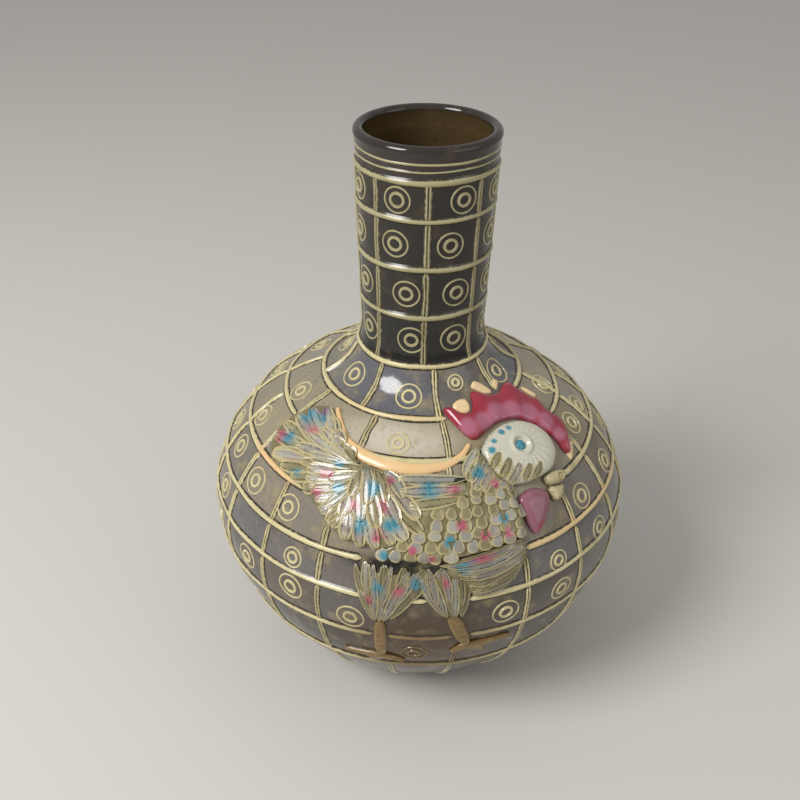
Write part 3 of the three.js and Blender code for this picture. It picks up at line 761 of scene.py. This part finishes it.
class Slab:
    """A flat piece of the rooster, with the height that it is rounded to."""

    def __init__(self, node, proud=0.0, edge=0.0, reach=1.0, cuts=2, carve=None, outline=None):
        self.node = node
        outline = outline or ROOSTER_OUTLINES[node]
        self.scale = math.radians(1) * radius_at(np.mean([point[1] for point in outline]))
        self.loop = rounded([(azimuth * self.scale, s) for azimuth, s in outline], cuts)
        self.proud, self.edge, self.reach, self.carve = proud, edge, reach, carve
        self.parts = []

    def height(self, x, y):
        if self.node in BODY_PROUD:
            return body_height(x / self.scale, y)
        share = np.clip(edge_distance(x, y, self.loop) / self.reach, 0, 1)
        rise = self.edge + (self.proud - self.edge) * np.sqrt(1 - (1 - share) ** 2)
        if self.carve:
            rise = rise + self.carve(x / self.scale, y) * share
        return rise

    def press(self, x, y, proud, faces, uv, colours, raised):
        self.parts.append((on_wall(x / self.scale, y, proud), faces, uv, colours, raised))


body_slabs = {node: Slab(node) for node in BODY_PROUD}


def body_height(azimuth, s):
    """One rounded surface over all the slabs of the bird's body, with no valley where they meet."""
    cover, rise = np.zeros(len(s)), np.zeros(len(s))
    for node, slab in body_slabs.items():
        depth = edge_distance(azimuth * slab.scale, s, slab.loop)
        share = np.clip(depth / (2 * BODY_ROUNDING) + 0.5, 0, 1)
        share = share * share * (3 - 2 * share)
        cover += share
        rise += share * BODY_PROUD[node]
    proud = rise / np.maximum(cover, 1e-6)
    roundness = np.clip(2 * cover - 1, 0, 1)
    return BODY_EDGE + (proud - BODY_EDGE) * np.sqrt(1 - (1 - roundness) ** 2)


def roll_slab(slab, colour, dabs=(), raised=0.6):
    """Cuts the slab as a solid, rounds it over and presses it on the wall."""
    middle = slab.loop.mean(axis=0)
    spare = SLAB_OVERLAP if slab.node in BODY_PROUD else 0
    away = slab.loop - middle
    loop = middle + away * (1 + spare / np.hypot(*away.T))[:, None]
    mesh = bpy.data.meshes.new("flat_slab")
    mesh.from_pydata([(x, y, 0) for x, y in loop], [], [tuple(range(len(loop)))])
    flat = bpy.data.objects.new("flat_slab", mesh)
    bpy.context.collection.objects.link(flat)
    pick(flat)
    bpy.ops.object.mode_set(mode="EDIT")
    bpy.ops.mesh.select_all(action="SELECT")
    bpy.ops.mesh.extrude_region_move(TRANSFORM_OT_translate={"value": (0, 0, SLAB_DEPTH)})
    bpy.ops.mesh.select_all(action="SELECT")
    bpy.ops.mesh.normals_make_consistent(inside=False)
    bpy.ops.object.mode_set(mode="OBJECT")
    remesh = flat.modifiers.new("clay", "REMESH")
    remesh.mode = "VOXEL"
    remesh.voxel_size = VOXEL
    bpy.ops.object.modifier_apply(modifier="clay")
    mesh = flat.data
    points = np.empty(len(mesh.vertices) * 3)
    mesh.vertices.foreach_get("co", points)
    x, y, z = points.reshape(-1, 3).T
    faces = [tuple(face.vertices) for face in mesh.polygons]
    bpy.data.objects.remove(flat)
    height = slab.height(x, y)
    rise = np.clip(z / SLAB_DEPTH, 0, 1)
    proud = -0.4 + rise * (height + 0.4)
    colours = dabbed(x / slab.scale, y, np.tile(np.array(linear(colour)), (len(x), 1)), dabs)
    share = raised + 0.4 * np.clip(height / height.max() - 0.75, -1, 1)
    slab.press(x, y, proud, faces, np.zeros((len(x), 2)), colours, np.where(rise > 0.5, share, 0.1))


def dabbed(azimuth, s, colours, dabs):
    """The ground colours with dabs of enamel, each given as azimuth, length, reach in mm and colour."""
    for at_azimuth, at_s, reach, enamel in dabs:
        away = np.hypot(np.radians(azimuth - at_azimuth) * radius_at(at_s), s - at_s) / reach
        share = np.clip(2.2 - 2 * away, 0, 1)[:, None]
        colours = colours * (1 - share) + np.array(linear(enamel)) * share
    return colours


def along_line(line, share):
    """A point part of the way along a line of points."""
    line = np.array(line, float)
    length = np.concatenate(([0], np.cumsum(np.hypot(*np.diff(line, axis=0).T))))
    place = share * length[-1]
    return np.array([np.interp(place, length, line[:, 0]), np.interp(place, length, line[:, 1])])


feather_dice = np.random.default_rng(17)


def lay_leaves(slab, roots, tips, count, width, dabs=(), bow=0.0, rise=0.9, point=0.5, ridges=BARBED,
               painted_shade=0.0):
    """Lays leaf-shaped pats from points along one line to points along another, as feathers, their colour
    darkened by a share as painted shade.
    """
    along, across = len(LEAF_ALONG), len(LEAF_ACROSS)
    t = np.repeat(LEAF_ALONG, across)
    v = np.tile(LEAF_ACROSS, along)
    ridge = np.tile(ridges, along)
    edge = np.clip((abs(v) - 0.55) / 0.37, 0, 1) + np.clip((t - 0.85) / 0.12, 0, 1)
    edge = np.clip(edge, 0, 1)[:, None]
    spread = np.sqrt(t) * (1 - t ** 3) ** point / 0.687
    rim = (t == 0) | (t == 1) | (abs(v) == 1)
    faces = [
        (i * across + j, i * across + j + 1, (i + 1) * across + j + 1, (i + 1) * across + j)
        for i in range(along - 1) for j in range(across - 1)
    ]
    border = [j for j in range(across)] + [i * across + across - 1 for i in range(1, along)]
    border += [(along - 1) * across + j for j in range(across - 2, -1, -1)]
    border += [i * across for i in range(along - 2, 0, -1)]
    faces.append(tuple(border))
    for k in range(count):
        share = k / max(count - 1, 1)
        sway = feather_dice.uniform(-1, 1, 4)
        root, tip = along_line(roots, share), along_line(tips, share)
        root, tip = root * (slab.scale, 1), tip * (slab.scale, 1) + 0.9 * sway[:2]
        run = tip - root
        side = np.array([-run[1], run[0]]) / max(np.hypot(*run), 1e-6)
        bend = bow + 0.4 * sway[2]
        middle = root + run * t[:, None] + side * (4 * bend * t * (1 - t))[:, None]
        x, y = (middle + side * (v * spread * width * (1 + 0.12 * sway[3]) / 2)[:, None]).T
        lift = rise * (0.3 + 0.7 * t) * np.where(rim, 0, 0.5 + 0.5 * ridge) * (1 + 0.25 * (k % 2))
        proud = slab.height(x, y) * 0.98 + np.where(rim, -0.5, lift)
        ground = LEAF_SHADES[int(feather_dice.integers(len(LEAF_SHADES)))]
        colours = np.array([linear(ground)]) * (1 - edge) + np.array([linear(LEAF_RIM)]) * edge
        # Painted shade: the leaves' colour is darkened by the given share.
        colours = dabbed(x / slab.scale, y, colours * (1 - painted_shade), dabs)
        raised = np.where(rim, 0.0, 0.15 + 0.7 * ridge)
        uv = np.stack((t * np.hypot(*run), (v + 1) / 2), axis=-1)
        slab.press(x, y, proud, faces, uv, colours, raised)


# A glossy khaki-cream glaze lies pale on the barbs and dark in the grooves
feather_glaze = glaze("khaki_cream_feather_glaze", "#2e2919", "#dcd2ad", 0.35, 5, 0.14, 0.25)
TAIL_DABS = [
    (-53, 71.6, 4.5, TURQUOISE), (-46, 73.5, 3, TURQUOISE), (-49.5, 77.5, 3.5, MAUVE),
    (-47, 68.6, 3.2, PINK), (-51, 59.6, 4, TURQUOISE), (-57, 58, 2.6, PINK), (-56, 53.6, 2.4, PINK),
    (-46, 52.6, 2.6, PINK)]
tail = body_slabs["tail_feathers"]
roll_slab(tail, FEATHER_GROUND)
lay_leaves(tail, [(-33, 58), (-30, 64)], [
    (-55, 50.5), (-58.5, 54), (-60, 61), (-59.5, 67), (-56, 74), (-51, 79), (-45.5, 79.5), (-39, 75.5),
    (-32, 69)], 9, 7.2, TAIL_DABS, bow=-1.8)
lay_leaves(tail, [(-25, 61), (-24, 63.5)], [
    (-42, 54.5), (-47, 58), (-49, 63), (-46, 70), (-39, 72), (-29, 67)], 6, 5.6, TAIL_DABS, bow=-1.0)

SADDLE_DABS = [
    (-28, 60.6, 2.6, TURQUOISE), (-25, 50.6, 3, TURQUOISE), (-30, 54.6, 2.8, PINK), (-31, 45.6, 2.6, PINK),
    (-40, 50, 2.2, TURQUOISE)]
saddle = body_slabs["saddle_feathers"]
roll_slab(saddle, FEATHER_GROUND)
lay_leaves(saddle, [(-35, 59), (-31, 48)], [(-54, 50), (-45, 46.5), (-36, 46)], 4, 6, SADDLE_DABS)
lay_leaves(saddle, [(-23, 61), (-23, 46)], [(-41, 57.5), (-37, 50), (-28, 39)], 6, 6, SADDLE_DABS)
lay_leaves(saddle, [(-19, 61.5), (-21, 50)], [(-30, 59), (-29, 50), (-24.5, 37)], 5, 5.4, SADDLE_DABS)

WING_DABS = [
    (-13.5, 53.6, 3.4, TURQUOISE), (-15, 38.6, 3.4, TURQUOISE), (-7, 40.6, 3.4, TURQUOISE),
    (-18, 62, 2.2, TURQUOISE), (-10, 47.6, 2.6, PINK), (-10, 35.6, 3, PINK), (-9, 58, 2.2, PINK),
    (-18, 45.6, 2.6, PINK)]
wing = body_slabs["wing"]
roll_slab(wing, FEATHER_GROUND)
lay_leaves(wing, [(-23, 45), (-7, 47)], [(-23.5, 34), (-15, 30), (-8, 30.8), (1.5, 38)], 7, 6.4, WING_DABS,
           bow=0.8)
lay_leaves(wing, [(-22, 53), (-9, 56)], [(-21.5, 40), (-10, 38.5), (0, 44)], 5, 6.4, WING_DABS, bow=1.0)
lay_leaves(wing, [(-21, 63), (-12, 62.5)], [(-20, 48), (-12, 46.5), (-3.5, 51)], 4, 6.4, WING_DABS, bow=1.0)

BACK_DABS = [(3, 55, 4.2, TURQUOISE), (10.5, 54.6, 3, PINK)]
back = body_slabs["back_feathers"]
roll_slab(back, FEATHER_GROUND)
lay_leaves(back, [(17, 59), (14, 51)], [(-7.5, 59), (-8, 55.5), (-2.5, 48)], 3, 5.6, BACK_DABS, rise=0.8)

BREAST_DABS = [
    (24, 40.6, 2.4, TURQUOISE), (8.5, 34.6, 2.6, TURQUOISE), (-8, 28.5, 2.4, TURQUOISE),
    (12, 40.6, 2.6, PINK), (18, 35.6, 2.4, PINK), (24.5, 34.6, 2.4, PINK), (-1, 31.6, 2, PINK),
    (4, 28, 1.8, PINK)]
SCALE_ROWS = [
    (28.4, -8, 9), (32.2, -5, 27), (36.4, 1, 28.5), (40.6, 4, 29), (44.8, 6, 29), (49, 12, 28),
    (52.8, 18, 27)]
SCALE_WIDTH = 5.6
breast = body_slabs["breast"]
roll_slab(breast, FEATHER_GROUND)
for turn, (s, left, right) in enumerate(SCALE_ROWS):
    count = int(math.radians(right - left) * radius_at(s) / (SCALE_WIDTH - 0.3)) + 1
    shift = 1.6 * (turn % 2)
    top, bottom = s + 3.2, s - 2.2
    left, right = left + shift, right + shift
    # The scales are darkened a little, as painted shade.
    lay_leaves(breast, [(left, top), (right, top)], [(left - 0.5, bottom), (right - 0.5, bottom)], count,
               SCALE_WIDTH, BREAST_DABS, rise=1.0, ridges=DOMED, painted_shade=0.05)

HACKLE_DABS = [(20, 59.6, 3, TURQUOISE), (24, 54, 2.4, PINK)]
hackle = body_slabs["hackle_feathers"]
roll_slab(hackle, FEATHER_GROUND)
lay_leaves(hackle, [(24, 71), (28, 58)], [(15.5, 59.5), (17, 54), (22, 50.5)], 5, 5.6, HACKLE_DABS,
           bow=-0.8)
lay_leaves(hackle, [(27, 63), (31, 54)], [(21, 55), (28, 50)], 4, 4.8, HACKLE_DABS)

FRINGE_DABS = [(12, 23.6, 2.6, TURQUOISE), (17, 26.6, 2.6, PINK)]
fringe = body_slabs["breast_fringe"]
roll_slab(fringe, FEATHER_GROUND)
# The fringe's leaves are darkened as painted shade under the breast's overhang.
lay_leaves(fringe, [(30, 31), (29.5, 24), (27, 19)], [(6, 25.5), (10, 21), (12.5, 16), (13.5, 11.5)],
           7, 4.4, FRINGE_DABS, bow=2.0, point=0.9, painted_shade=0.3)

THIGH_DABS = [
    (-9, 14.6, 2.6, TURQUOISE), (0, 17.6, 2.2, TURQUOISE), (-4, 14, 2.2, PINK), (-11, 8, 2.2, PINK),
    (7, 17.6, 2.4, PINK)]
# The thighs' leaves are darkened as painted shade under the breast's overhang.
THIGH_LEAF = {"dabs": THIGH_DABS, "point": 1.0, "painted_shade": 0.3}
left_thigh = Slab("left_thigh", 1.5, 0.8, 3)
roll_slab(left_thigh, FEATHER_GROUND)
lay_leaves(left_thigh, [(-13, 25), (0, 24), (12, 24)], [(-11, 12), (-2, 9.5), (6, 11)], 6, 6, THIGH_DABS,
           rise=0.7, point=0.9, painted_shade=0.35)
lay_leaves(left_thigh, [(-15.5, 23), (-8, 25), (3, 21)], [(-10, -2), (-8.4, -3), (-6.5, -1.5)], 5, 5.4,
           rise=0.8, **THIGH_LEAF)
lay_leaves(left_thigh, [(-12, 24), (0, 22)], [(-10.5, 6), (-5, 7)], 3, 5, **THIGH_LEAF)
right_thigh = Slab("right_thigh", 1.5, 0.8, 3)
roll_slab(right_thigh, FEATHER_GROUND)
lay_leaves(right_thigh, [(0, 22), (6, 24), (13, 21)], [(7.4, 1.5), (9, 0.5), (10.8, 1.5)], 5, 5,
           rise=0.8, **THIGH_LEAF)
lay_leaves(right_thigh, [(3, 24), (11, 23)], [(5.5, 8), (11, 7)], 3, 4.6, **THIGH_LEAF)

FEATHERED = {
    "rooster_tail": tail, "rooster_saddle": saddle, "rooster_wing": wing, "rooster_back": back,
    "rooster_breast": breast, "rooster_hackle": hackle, "rooster_fringe": fringe,
    "rooster_left_thigh": left_thigh, "rooster_right_thigh": right_thigh,
}
for name, slab in FEATHERED.items():
    finish_piece(assemble(name, slab.parts), feather_glaze, "feather_enamel", slab.node)


# Legs
# The shanks are short rolls of clay notched across into bands, and the feet are flat toes.
# Their ochre glaze has run down over the amber wall below.
BAND_PITCH = 3.9
OCHRE = "#7d6339"
# An ochre glaze lies thin on the bands and runs brown between them
leg_glaze = glaze("ochre_leg_glaze", "#271c0d", "#b89d65", 0.5, 4, 0.18, 0.25)


def banded(azimuth, s):
    """Notches between the rounded bands of a shank."""
    return 1.0 * (np.abs(np.sin(math.pi * s / BAND_PITCH)) ** 0.5 - 1)


LEGS = {
    "rooster_left_shank": Slab("left_shank", 2.1, 0.6, 2.0, carve=banded),
    "rooster_right_shank": Slab("right_shank", 2.1, 0.6, 2.0, carve=banded),
    "rooster_left_foot": Slab("left_foot", 1.6, 0.5, 1.2),
    "rooster_right_foot": Slab("right_foot", 1.6, 0.5, 1.2),
}
for name, slab in LEGS.items():
    roll_slab(slab, OCHRE, raised=0.7)
    finish_piece(assemble(name, slab.parts), leg_glaze, "ochre_enamel", slab.node)


# Head, eye and beak
# The head is a domed pad with shallow grooves round the cheek and a socket for the eye.
# The beak is two wedges with a dark slot between, and a small ring for the nostril.
EYE_PLACE = (39.5, 65.6)
EYE_RADIUS = 2.5
HEAD_CREAM = "#cdcab8"
HEAD_DABS = [
    (35, 73.6, 1.6, TURQUOISE), (39, 74.2, 1.4, TURQUOISE), (27.5, 67.6, 1.8, TURQUOISE),
    (30, 71, 1.4, TURQUOISE)]


def cheek(azimuth, s):
    """Grooves that spread from the eye, and the socket with its raised ring."""
    dx = np.radians(azimuth - EYE_PLACE[0]) * radius_at(EYE_PLACE[1])
    dy = s - EYE_PLACE[1]
    away = np.hypot(dx, dy)
    spread = np.clip((away - 6) / 3, 0, 1) * np.clip((17 - away) / 4, 0, 1)
    grooves = -0.35 * spread * np.clip(np.sin(24 * np.arctan2(dy, dx) + 0.6 * away), 0, 1)
    ring = 0.8 * np.exp(-((away - 4.2) / 0.8) ** 2)
    return grooves + ring - 1.6 * np.clip(1 - away / 3.4, 0, 1) ** 0.5


head = Slab("head", 5.4, 2, 8, carve=cheek)
roll_slab(head, HEAD_CREAM, HEAD_DABS, raised=0.6)
lay_leaves(head, [(30, 66), (36, 58), (43, 56)], [(25, 60), (29.5, 53), (38, 50.5)], 5, 4.6, HEAD_DABS,
           rise=0.6)
finish_piece(assemble("rooster_head", head.parts), feather_glaze, "feather_enamel", "head")

bpy.ops.mesh.primitive_uv_sphere_add(segments=32, ring_count=16, radius=EYE_RADIUS)
eye = bpy.context.object
eye.name = "rooster_eye"
ball = np.array([tuple(vertex.co) for vertex in eye.data.vertices])
seen = on_wall(
    EYE_PLACE[0] + np.degrees(ball[:, 0] / radius_at(EYE_PLACE[1])), EYE_PLACE[1] + ball[:, 1],
    3.6 + ball[:, 2] * 0.8)
eye.data.vertices.foreach_set("co", seen.ravel())
eye.data.update()
pick(eye)
bpy.ops.object.shade_smooth()
paint(eye, np.tile(np.array(linear(TURQUOISE)), (len(ball), 1)), 1.0)
# The eye is one glassy drop of turquoise enamel
eye_glaze = glaze("turquoise_enamel_glaze", "#1d4a58", "#9fd0d6", 0.4, 2, 0.08, 0.1)
finish_piece(eye, eye_glaze, "turquoise_enamel", "eye")

BEAKS = (("rooster_upper_beak", "upper_beak", 4.4), ("rooster_lower_beak", "lower_beak", 3.4))
for name, node, proud in BEAKS:
    slab = Slab(node, proud, 1.0, 2.6, cuts=1)
    roll_slab(slab, FEATHER_TOP, raised=0.55)
    if node == "upper_beak":
        turn = np.linspace(0, 2 * math.pi, 14, endpoint=False)
        nostril = trail(47 + 1.5 * np.cos(turn), 46.6 + 1.6 * np.sin(turn), [(-0.5, 3), (0, 4.9), (0.5, 3)],
                        FEATHER_TOP, closes=True)
        slab.parts.append(nostril)
    finish_piece(assemble(name, slab.parts), feather_glaze, "feather_enamel", node)


# Comb and wattle
# Smooth lobes of clay under raspberry enamel, which is deep red at the comb's tips
# and paler and pinker along its inner edge.
COMB_RED = "#98303f"
COMB_PINK = "#ab6478"
WATTLE_PINK = "#8c5a66"
COMB_DABS = [
    (23, 81, 4.5, COMB_PINK), (32, 81.5, 5, COMB_PINK), (41, 83, 5.5, COMB_PINK), (49, 81, 5, COMB_PINK),
    (56, 75.5, 5, COMB_PINK), (59, 68, 4.5, COMB_PINK), (60, 60, 3.5, COMB_PINK)]
# Raspberry enamel is thick and glassy, so it keeps sharp highlights
comb_glaze = glaze("raspberry_enamel_glaze", "#4a0f1d", "#b9808f", 0.4, 9, 0.08, 0.3)


def lobes(azimuth, s):
    """Soft swells along the comb, which fan out to its tips."""
    dx = np.radians(azimuth - EYE_PLACE[0]) * radius_at(EYE_PLACE[1] + 10)
    return 0.4 * np.sin(9 * np.arctan2(s - EYE_PLACE[1], dx))


comb = Slab("comb", 3.0, 0.8, 3.5, cuts=1, carve=lobes)
roll_slab(comb, COMB_RED, COMB_DABS, raised=0.8)
finish_piece(assemble("rooster_comb", comb.parts), comb_glaze, "comb_enamel", "comb")
wattle = Slab("wattle", 3.7, 0.8, 5)
roll_slab(wattle, WATTLE_PINK, [(36, 31, 4, COMB_RED)], raised=0.8)
finish_piece(assemble("rooster_wattle", wattle.parts), comb_glaze, "comb_enamel", "wattle")


# Slip islands
# Pats of peach slip fill the notches between the comb's tips and the hoops round them.
ISLANDS = [
    [(19.5, 94), (21, 90.5), (25, 88.4), (29.5, 89.2), (31, 92.5), (30, 95.5), (25, 96)],
    [(37, 99.5), (40, 97.6), (45, 94), (50, 92.6), (51, 95), (47, 99.5), (42, 102)],
    [(55, 92.8), (60, 94.2), (62, 96.5), (58, 98), (54, 96)],
    [(69, 82), (70.5, 77), (72.5, 78), (72, 84), (70, 86)],
    [(58, 47), (62, 50), (65, 53), (61, 55.5), (57.5, 50.5)],
]
ISLAND_PROUD = 0.9
ISLAND_PEACH = "#eccf9f"
# Peach slip is warm and opaque under the clear glaze
peach_glaze = glaze("peach_slip_under_glaze", "#6b5233", "#f0d6ab", 0.5, 10, 0.2, 0.2)
island_parts = []
for outline in ISLANDS:
    pat = Slab("island", ISLAND_PROUD, 0.2, 1.6, outline=outline)
    roll_slab(pat, ISLAND_PEACH, raised=0.8)
    island_parts += pat.parts
finish_piece(assemble("comb_slip_islands", island_parts), peach_glaze, "peach_slip")


# Outline cord
# One thick cord of peach slip runs along the rooster's back, broad under the pale cell
# and narrow at both ends.
OUTLINE_SECTION = [(-1.5, -0.4), (-1.3, 0.5), (-0.8, 1.1), (0, 1.3), (0.8, 1.1), (1.3, 0.5), (1.5, -0.4)]
OUTLINE_BROAD = 2.2
places = np.array([along_line(BACK_LINE, value) for value in np.linspace(0, 1, 90)])
for _ in range(6):
    places[1:-1] = (places[:-2] + 2 * places[1:-1] + places[2:]) / 4
broad = 1 + (OUTLINE_BROAD - 1) * np.sin(np.linspace(0, math.pi, len(places))) ** 1.5
outline_dice = np.random.default_rng(3)
outline_parts = [
    trail(places[:, 0], places[:, 1] - 0.6, OUTLINE_SECTION, PEACH_SLIP, outline_dice, broad=broad)]
outline_cord = assemble("rooster_outline_cord", outline_parts)
finish_piece(outline_cord, peach_glaze, "peach_slip", "back_outline_cord")
